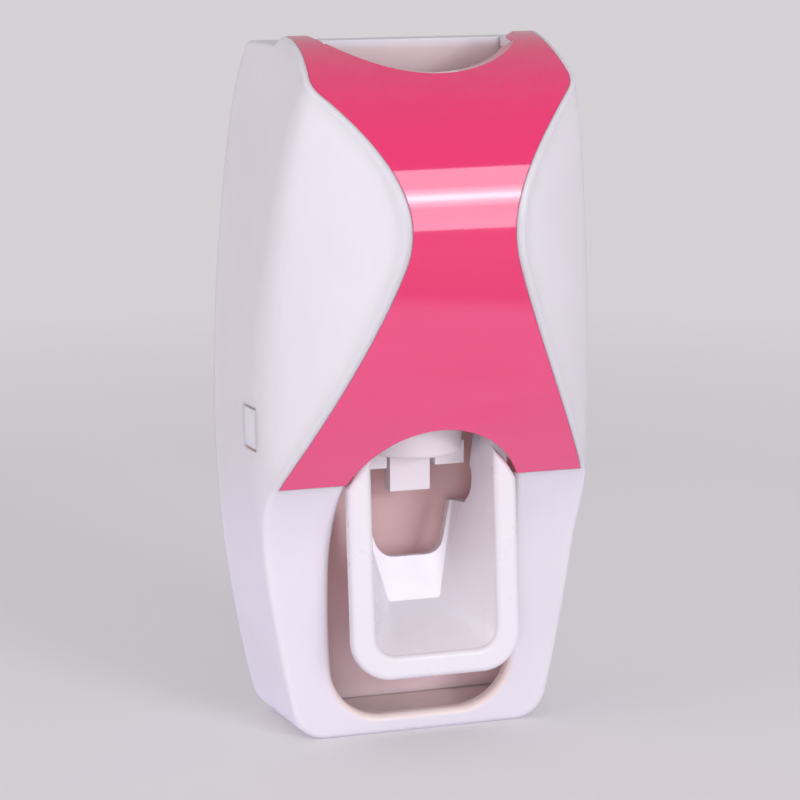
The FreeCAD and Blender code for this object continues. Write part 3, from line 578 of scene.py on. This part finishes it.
def plain_floor(look):
    """Floor that is lit near the dispenser and one even shade far from it; near the dispenser it also glows
    into glossy faces, a painted reflection.
    """
    made, tree, shader = finish("Pale floor")
    skin = grouped(tree, moulded_skin, Colour=opaque(look.floor), Mottle=0.015, Roughness=0.85, Grain=0.002)
    path = tree.add("ShaderNodeLightPath").outputs
    seen = tree.math("MAXIMUM", path["Is Camera Ray"],
                     tree.math("MAXIMUM", path["Is Glossy Ray"], path["Is Transmission Ray"]))
    lift = tuple(look.floor_lift * c for c in look.floor)
    far = tree.add("ShaderNodeVectorMath", {0: tree.spot()}, operation="LENGTH").outputs["Value"]
    # Painted reflection: the floor near the dispenser glows into glossy rays only
    near = tree.spread(far, 1.0, 0.0, look.glow_reach, GLOW_FADE * look.glow_reach)
    shine = tree.math("MULTIPLY", near, path["Is Glossy Ray"])
    pale = tree.blend(seen, (0, 0, 0, 1), opaque(lift))
    both = tuple(first + second for first, second in zip(lift, look.glow))
    beyond = tree.spread(far, 0.0, 1.0, look.lit_reach, LIT_FADE * look.lit_reach)
    away = tree.math("MULTIPLY", seen, beyond)
    wire(tree, shader, Roughness=skin["Roughness"], Specular_IOR_Level=0.1, Emission_Strength=1.0,
         Base_Color=tree.blend(away, skin["Colour"], (0, 0, 0, 1)),
         Emission_Color=tree.blend(away, tree.blend(shine, pale, opaque(both)), opaque(look.backdrop)))
    return made


def dress(names, material):
    """Gives nodes of the frame a material."""
    for name in names:
        node = NODES[name]
        if not node.material_slots:
            node.data.materials.append(material)
        for slot in node.material_slots:
            slot.material = material


# Meshes

def new_piece(name, bm, body, materials):
    """Object from a bmesh that rides on a body and takes the given materials."""
    bmesh.ops.recalc_face_normals(bm, faces=bm.faces)
    mesh = bpy.data.meshes.new(name)
    bm.to_mesh(mesh)
    bm.free()
    piece = bpy.data.objects.new(name, mesh)
    bpy.context.scene.collection.objects.link(piece)
    for material in materials:
        mesh.materials.append(material)
    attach(piece, body)
    return piece


def bridge_rings(bm, rings, smooth=True):
    """Closed strips of faces between rings of as many vertices."""
    faces = []
    for low, high in zip(rings, rings[1:]):
        for i in range(len(low)):
            j = (i + 1) % len(low)
            faces.append(bm.faces.new((low[i], low[j], high[j], high[i])))
    for face in faces:
        face.smooth = smooth
    return faces


def forward_ring(bm, centre, radius, depth, count):
    """Ring of vertices round an axis along Y at a depth from the centre."""
    turn = 2 * math.pi / count
    return [bm.verts.new((centre.x + radius * math.cos(i * turn), centre.y + depth,
                          centre.z + radius * math.sin(i * turn))) for i in range(count)]


def rounded_outline(half_x, half_z, radius, count):
    """Points of a rectangle with round corners, count to each corner."""
    points = []
    for quarter, (sx, sz) in enumerate(((1, 1), (-1, 1), (-1, -1), (1, -1))):
        for i in range(count):
            angle = math.pi / 2 * (quarter + i / (count - 1))
            points.append((sx * (half_x - radius) + radius * math.cos(angle),
                           sz * (half_z - radius) + radius * math.sin(angle)))
    return points


def foam_pad(look, materials):
    """Foam core with a swollen edge between two adhesive films."""
    low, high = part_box("bracket_tape")
    middle = (low + high) / 2
    bm = bmesh.new()
    outline = rounded_outline((high.x - low.x) / 2, (high.z - low.z) / 2, look.corner, CORNER_POINTS)
    rings = []
    for i in range(TAPE_LAYERS + 1):
        t = i / TAPE_LAYERS
        grow = look.bulge * (math.sin(math.pi * t) - 1)
        depth = low.y + (high.y - low.y) * t
        rings.append([bm.verts.new((middle.x + x + math.copysign(grow, x), depth,
                                    middle.z + z + math.copysign(grow, z))) for x, z in outline])
    bridge_rings(bm, rings)
    for ring in (rings[0], rings[-1]):
        bm.faces.new(ring).material_index = 1
    return new_piece("tape_pad", bm, "bracket", materials)


def silicone_bulb(look, material):
    """Hollow dome on a flange, from its foot to its tip."""
    low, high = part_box("pump_bulb")
    centre = Vector(((low.x + high.x) / 2, high.y, (low.z + high.z) / 2))
    flange_radius = (high.x - low.x) / 2
    rise = high.y - low.y
    flange = look.bulb_flange
    base = look.bulb_base
    edge = look.bulb_edge
    dome = rise - flange
    sphere = (base ** 2 + dome ** 2) / (2 * dome)
    top = math.asin(base / sphere)

    def arch(wall):
        radius = sphere - wall
        angles = [top * (1 - i / DOME_STEPS) for i in range(DOME_STEPS)]
        return [(radius * math.sin(a), flange + radius * math.cos(a) - (sphere - dome)) for a in angles]

    outer = [(base + look.bulb_root, flange)] + arch(0)
    inner = arch(look.bulb_wall)
    profile = [(inner[0][0], 0.0), (flange_radius - edge, 0.0), (flange_radius, edge),
               (flange_radius, flange - edge), (flange_radius - edge, flange)] + outer
    bm = bmesh.new()
    rings = [forward_ring(bm, centre, r, -d, DOME_POINTS) for r, d in profile]
    bridge_rings(bm, rings)
    tip = bm.verts.new((centre.x, centre.y - rise, centre.z))
    hollow = [forward_ring(bm, centre, r, -d, DOME_POINTS) for r, d in inner]
    bridge_rings(bm, [rings[0]] + hollow)
    roof = bm.verts.new((centre.x, centre.y - rise + look.bulb_wall, centre.z))
    for ring, apex in ((rings[-1], tip), (hollow[-1], roof)):
        for i in range(len(ring)):
            bm.faces.new((ring[i], ring[(i + 1) % len(ring)], apex)).smooth = True
    piece = new_piece("bulb_dome", bm, "housing", [material])
    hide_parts("pump_bulb")
    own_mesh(piece)
    return piece


def screw_mesh(look, head_radius, head_height, shank_radius, shank_length):
    """Pan-head screw along +Y from its seat, with a cross recess, a thread and a point."""
    bm = bmesh.new()
    origin = Vector((0, 0, 0))
    flat = HEAD_FLAT * head_radius
    side = HEAD_SIDE * head_height
    dome = [(head_radius - look.head_chamfer, 0.0), (head_radius, look.head_foot), (head_radius, side)]
    for i in range(1, HEAD_STEPS):
        angle = math.pi / 2 * i / HEAD_STEPS
        dome.append((flat + (head_radius - flat) * math.cos(angle),
                     side + (head_height - side) * math.sin(angle)))
    dome.append((flat, head_height))
    rings = [forward_ring(bm, origin, r, -d, HEAD_POINTS) for r, d in dome]
    bridge_rings(bm, rings)
    half = look.recess_width / 2
    reach = look.recess_reach
    cross = [(reach, -half), (reach, half), (half, half), (half, reach), (-half, reach), (-half, half),
             (-reach, half), (-reach, -half), (-half, -half), (-half, -reach), (half, -reach), (half, -half)]
    lip = [bm.verts.new((x, -head_height, z)) for x, z in cross]
    pore_shade_colour = [bm.verts.new((RECESS_TAPER * x, look.recess_depth - head_height, RECESS_TAPER * z))
            for x, z in cross]
    bridge_rings(bm, [lip, pore_shade_colour], smooth=False)
    bm.faces.new(pore_shade_colour)
    edges = [bm.edges.get((ring[i], ring[(i + 1) % len(ring)]))
             for ring in (rings[-1], lip) for i in range(len(ring))]
    bmesh.ops.triangle_fill(bm, use_beauty=True, edges=edges)
    levels = int(shank_length / look.pitch * THREAD_STEPS)
    core = look.core * shank_radius
    thread = []
    for j in range(levels + 1):
        depth = shank_length * j / levels
        taper = min(1.0, (shank_length - depth) / (POINT_LENGTH * shank_radius) + POINT_TIP)
        ring = []
        for i in range(THREAD_POINTS):
            phase = (depth / look.pitch + i / THREAD_POINTS) % 1
            cut = depth > THREAD_START * look.pitch
            crest = max(0.0, 1 - CREST_SLOPE * abs(phase - 0.5)) if cut else 0.0
            radius = (core + (shank_radius - core) * crest) * taper
            angle = 2 * math.pi * i / THREAD_POINTS
            ring.append(bm.verts.new((radius * math.cos(angle), depth, radius * math.sin(angle))))
        thread.append(ring)
    bridge_rings(bm, thread)
    seat = forward_ring(bm, origin, core, 0.0, THREAD_POINTS)
    bridge_rings(bm, [seat, thread[0]])
    bm.faces.new(thread[-1])
    bm.faces.new(rings[0])
    return bm


def screw_places(node):
    """Box of each screw in a node, told apart by the quarter that it lies in."""
    points = [v.co for v in NODES[node].data.vertices]
    low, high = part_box(node)
    middle = (low + high) / 2
    tall = (high.z - low.z) > (high.x - low.x)
    quarters = {}
    for p in points:
        quarters.setdefault((p.x > middle.x, tall and p.z > middle.z), []).append(p)
    for key in sorted(quarters):
        cloud = quarters[key]
        yield ([min(p[k] for p in cloud) for k in range(3)], [max(p[k] for p in cloud) for k in range(3)])


def fit_screws(look, node, label, into, material):
    """Screws in the places of a node; into is the way that they run along Y."""
    for index, (low, high) in enumerate(screw_places(node)):
        head_radius = (high[0] - low[0]) / 2
        head_height = look.head_height
        bm = screw_mesh(look, head_radius, head_height, look.shank * head_radius,
                        high[1] - low[1] - head_height)
        seat = low[1] + head_height if into > 0 else high[1] - head_height
        for v in bm.verts:
            v.co = Vector(((low[0] + high[0]) / 2 + into * v.co.x, seat + into * v.co.y,
                           (low[2] + high[2]) / 2 + v.co.z))
        piece = new_piece(f"{label}_{index + 1}", bm, "housing", [material])
        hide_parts(node)


# Operators

class DISPENSER_OT_shell(bpy.types.Operator):
    """Give the front shell its white gloss, with painted shade on its inner faces"""
    bl_idname = "dispenser.shell"
    bl_label = "Front Shell"
    bl_options = {"REGISTER", "UNDO"}

    def execute(self, context):
        look = context.scene.dispenser
        w = look.shell
        dress(["front_shell"], moulding("White gloss hood", w.hood, w.hood_gloss, w.mottle, w.grain, w.edge,
                                        inner=look.inner, warm=look.inner.hood_painted_shade))
        return {"FINISHED"}


class DISPENSER_OT_panel(bpy.types.Operator):
    """Give the front panel its pink gloss"""
    bl_idname = "dispenser.panel"
    bl_label = "Front Panel"
    bl_options = {"REGISTER", "UNDO"}

    def execute(self, context):
        look = context.scene.dispenser
        dress(["front_panel"], pink_gloss(look.panel))
        return {"FINISHED"}


class DISPENSER_OT_lever(bpy.types.Operator):
    """Give the push lever its white gloss"""
    bl_idname = "dispenser.lever"
    bl_label = "Push Lever"
    bl_options = {"REGISTER", "UNDO"}

    def execute(self, context):
        look = context.scene.dispenser
        w = look.shell
        dress(["push_lever"], moulding("White gloss lever", w.lever, w.lever_gloss, w.mottle, w.grain,
                                       w.edge))
        return {"FINISHED"}


class DISPENSER_OT_back(bpy.types.Operator):
    """Give the back cover its satin white, its pin marks and painted shade on its inner face"""
    bl_idname = "dispenser.back"
    bl_label = "Back Cover"
    bl_options = {"REGISTER", "UNDO"}

    def execute(self, context):
        look = context.scene.dispenser
        inner = look.inner
        dress(["back_cover"], moulding("Satin cover", inner.cover, inner.gloss, mottle=0.05, dust=0.2,
                                       marks=pin_marks(inner), inner=inner, warm=inner.warm))
        return {"FINISHED"}


class DISPENSER_OT_bracket(bpy.types.Operator):
    """Give the wall bracket its satin white"""
    bl_idname = "dispenser.bracket"
    bl_label = "Wall Bracket"
    bl_options = {"REGISTER", "UNDO"}

    def execute(self, context):
        look = context.scene.dispenser
        inner = look.inner
        dress(["wall_bracket"], moulding("Satin bracket", inner.bracket, inner.gloss, mottle=0.05,
                                         dust=0.25))
        return {"FINISHED"}


class DISPENSER_OT_tape(bpy.types.Operator):
    """Make the foam tape"""
    bl_idname = "dispenser.tape"
    bl_label = "Foam Tape"
    bl_options = {"REGISTER", "UNDO"}

    def execute(self, context):
        look = context.scene.dispenser
        pad = foam_pad(look.tape, [cell_foam(look.tape), tacky_film(look.tape)])
        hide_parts("bracket_tape")
        return {"FINISHED"}


class DISPENSER_OT_pump(bpy.types.Operator):
    """Give the pump, the tube socket and the outlet their satin white"""
    bl_idname = "dispenser.pump"
    bl_label = "Pump and Outlet"
    bl_options = {"REGISTER", "UNDO"}

    def execute(self, context):
        look = context.scene.dispenser
        inner = look.inner
        dress(["pump_body", "bulb_ring", "inlet_seat", "tube_socket", "seal_retainer", "outlet_collar",
               "nozzle"],
              moulding("Satin pump", inner.pump, inner.gloss, mottle=0.04, dust=0.1))
        return {"FINISHED"}


class DISPENSER_OT_seals(bpy.types.Operator):
    """Make the bulb, and give the seals and valves their silicone"""
    bl_idname = "dispenser.seals"
    bl_label = "Bulb, Seals and Valves"
    bl_options = {"REGISTER", "UNDO"}

    def execute(self, context):
        look = context.scene.dispenser
        material = milky_silicone(look.rubber)
        dress(["inlet_valve", "socket_seal", "neck_seal", "outlet_valve"], material)
        silicone_bulb(look.rubber, material)
        return {"FINISHED"}


class DISPENSER_OT_screws(bpy.types.Operator):
    """Make the screws of the cover and the pump"""
    bl_idname = "dispenser.screws"
    bl_label = "Screws"
    bl_options = {"REGISTER", "UNDO"}

    def execute(self, context):
        look = context.scene.dispenser
        material = zinc_plate(look.screw)
        fit_screws(look.screw, "cover_screws", "cover_screw", -1, material)
        fit_screws(look.screw, "pump_screws", "pump_screw", 1, material)
        return {"FINISHED"}


def area_light(name, where, aim, size, power, tint=(1.0, 1.0, 1.0)):
    data = bpy.data.lights.new(name, "AREA")
    data.shape = "RECTANGLE"
    data.size = size[0]
    data.size_y = size[1]
    data.energy = power
    data.color = tint
    lamp = bpy.data.objects.new(name, data)
    lamp.location = where
    lamp.rotation_euler = (Vector(aim) - Vector(where)).to_track_quat("-Z", "Y").to_euler()
    bpy.context.scene.collection.objects.link(lamp)
    return lamp


class DISPENSER_OT_stage(bpy.types.Operator):
    """Make the floor, the lights and the camera"""
    bl_idname = "dispenser.stage"
    bl_label = "Stage"
    bl_options = {"REGISTER", "UNDO"}

    def execute(self, context):
        look = context.scene.dispenser
        studio = look.studio
        scene = bpy.context.scene
        scene.view_settings.view_transform = "Standard"
        bm = bmesh.new()
        bmesh.ops.create_grid(bm, x_segments=FLOOR_CELLS, y_segments=FLOOR_CELLS, size=FLOOR_SIZE)
        mesh = bpy.data.meshes.new("floor")
        bm.to_mesh(mesh)
        bm.free()
        floor = bpy.data.objects.new("floor", mesh)
        floor.location = (0, 0, CAD_BOX[0][2])
        scene.collection.objects.link(floor)
        mesh.materials.append(plain_floor(studio))
        world = scene.world or bpy.data.worlds.new("Studio")
        scene.world = world
        world.use_nodes = True
        sky = world.node_tree.nodes["Background"]
        sky.inputs["Color"].default_value = opaque(studio.sky)
        sky.inputs["Strength"].default_value = studio.sky_strength
        aim = studio.aim
        area_light("key_softbox", studio.key_place, aim, studio.key_size, studio.key_power, studio.key_tint)
        for index, (height, part) in enumerate(TUBES):
            area_light(f"key_tube_{index + 1}", studio.tube_place, aim, (studio.key_size[0], height),
                       part * studio.tube_power)
        low = area_light("low_fill", studio.low_place, aim, studio.low_size, studio.low_power)
        low.visible_glossy = False
        area_light("left_fill", studio.fill_place, aim, studio.fill_size, studio.fill_power, studio.fill_tint)
        data = bpy.data.cameras.new("camera")
        data.lens = studio.lens
        data.sensor_width = studio.sensor
        camera = bpy.data.objects.new("camera", data)
        camera.location = studio.camera
        ahead = Vector(studio.target) - Vector(studio.camera)
        camera.rotation_euler = ahead.to_track_quat("-Z", "Y").to_euler()
        scene.collection.objects.link(camera)
        scene.camera = camera
        return {"FINISHED"}


OPERATORS = (DISPENSER_OT_shell, DISPENSER_OT_panel, DISPENSER_OT_lever, DISPENSER_OT_back,
             DISPENSER_OT_bracket, DISPENSER_OT_tape, DISPENSER_OT_pump, DISPENSER_OT_seals,
             DISPENSER_OT_screws, DISPENSER_OT_stage)


class DISPENSER_PT_panel(bpy.types.Panel):
    """Lists the pieces of the dispenser"""
    bl_idname = "DISPENSER_PT_panel"
    bl_label = "Toothpaste Dispenser"
    bl_space_type = "VIEW_3D"
    bl_region_type = "UI"
    bl_category = "Dispenser"

    def draw(self, context):
        for operator in OPERATORS:
            self.layout.operator(operator.bl_idname)


CLASSES = (ShellLook, PanelLook, InnerLook, RubberLook, TapeLook, ScrewLook, StudioLook, DispenserLook,
           *OPERATORS, DISPENSER_PT_panel)


def register():
    for cls in CLASSES:
        bpy.utils.register_class(cls)
    bpy.types.Scene.dispenser = PointerProperty(type=DispenserLook)


def unregister():
    del bpy.types.Scene.dispenser
    for cls in reversed(CLASSES):
        bpy.utils.unregister_class(cls)


def main():
    register()
    bpy.ops.dispenser.shell()
    bpy.ops.dispenser.panel()
    bpy.ops.dispenser.lever()
    bpy.ops.dispenser.back()
    bpy.ops.dispenser.bracket()
    bpy.ops.dispenser.tape()
    bpy.ops.dispenser.pump()
    bpy.ops.dispenser.seals()
    bpy.ops.dispenser.screws()
    bpy.ops.dispenser.stage()


if __name__ == "__main__":
    main()
